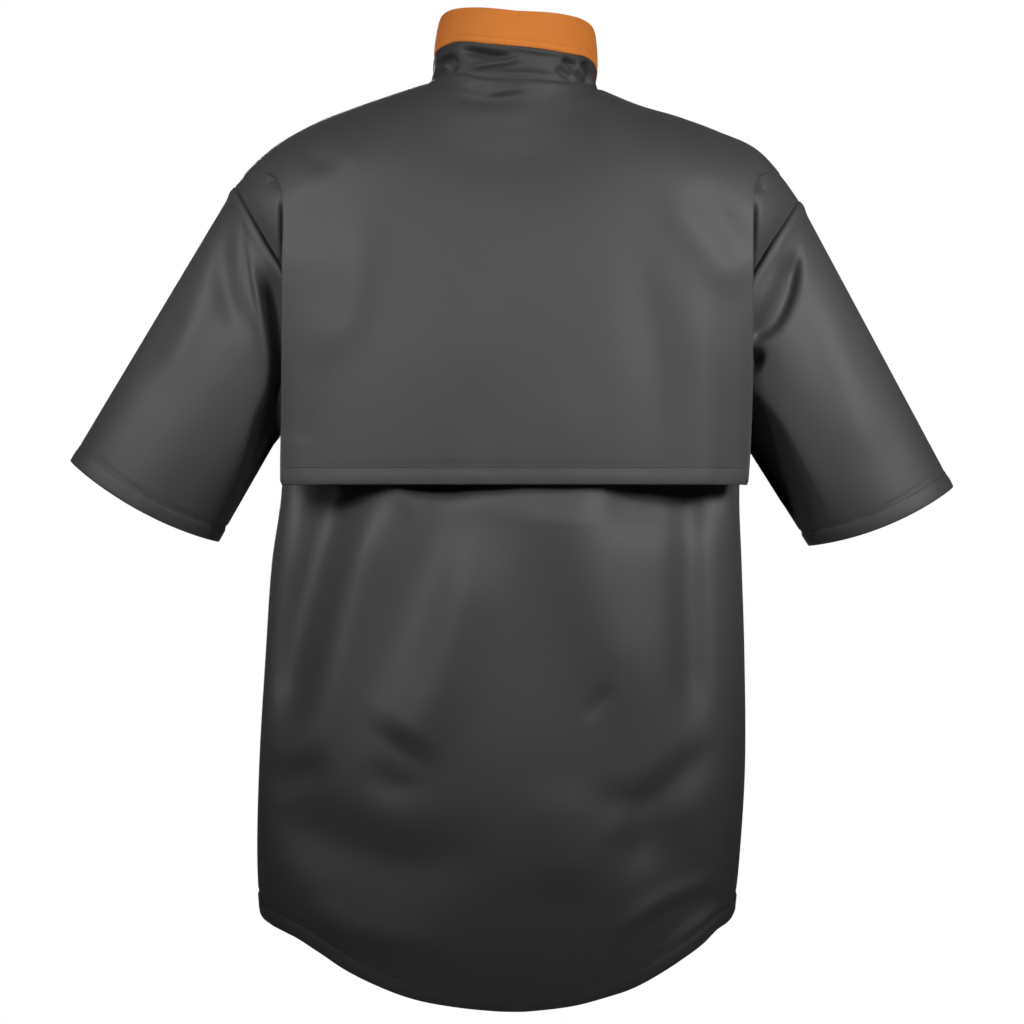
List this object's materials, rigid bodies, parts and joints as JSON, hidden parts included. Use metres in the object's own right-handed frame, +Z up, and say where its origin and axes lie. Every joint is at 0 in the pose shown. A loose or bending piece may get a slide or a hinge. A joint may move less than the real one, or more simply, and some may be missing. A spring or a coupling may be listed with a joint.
{
  "type": "welding jacket",
  "caption": "Short-sleeved work jacket with a stand collar, a loose cape over the upper back, a snap front and a curved tail hem.",
  "frame": {"origin": "middle of the neck opening, level with the neck seam at the centre back, where the neck and shoulders carry the jacket", "axes": "+Z up, +Y out of the back, -Y out of the front, +X towards the wearer's left"},
  "size_m": [0.7756, 0.2789, 0.8641],
  "materials": {
    "charcoal_cloth": "smooth satin-woven cotton, matt with a soft sheen",
    "orange_cloth": "plain woven cotton, matt",
    "snap_metal": "dark enamelled, satin"
  },
  "bodies": {
    "root": {"back_panel": "charcoal_cloth", "back_cape": "charcoal_cloth", "front_left": "charcoal_cloth", "front_right": "charcoal_cloth", "placket": "charcoal_cloth", "snap_1": "snap_metal", "snap_2": "snap_metal", "snap_3": "snap_metal", "snap_4": "snap_metal", "snap_5": "snap_metal", "snap_6": "snap_metal", "sleeve_left": "charcoal_cloth", "sleeve_right": "charcoal_cloth", "collar_stand": "charcoal_cloth", "collar_band": "orange_cloth"}
  },
  "joints": []
}
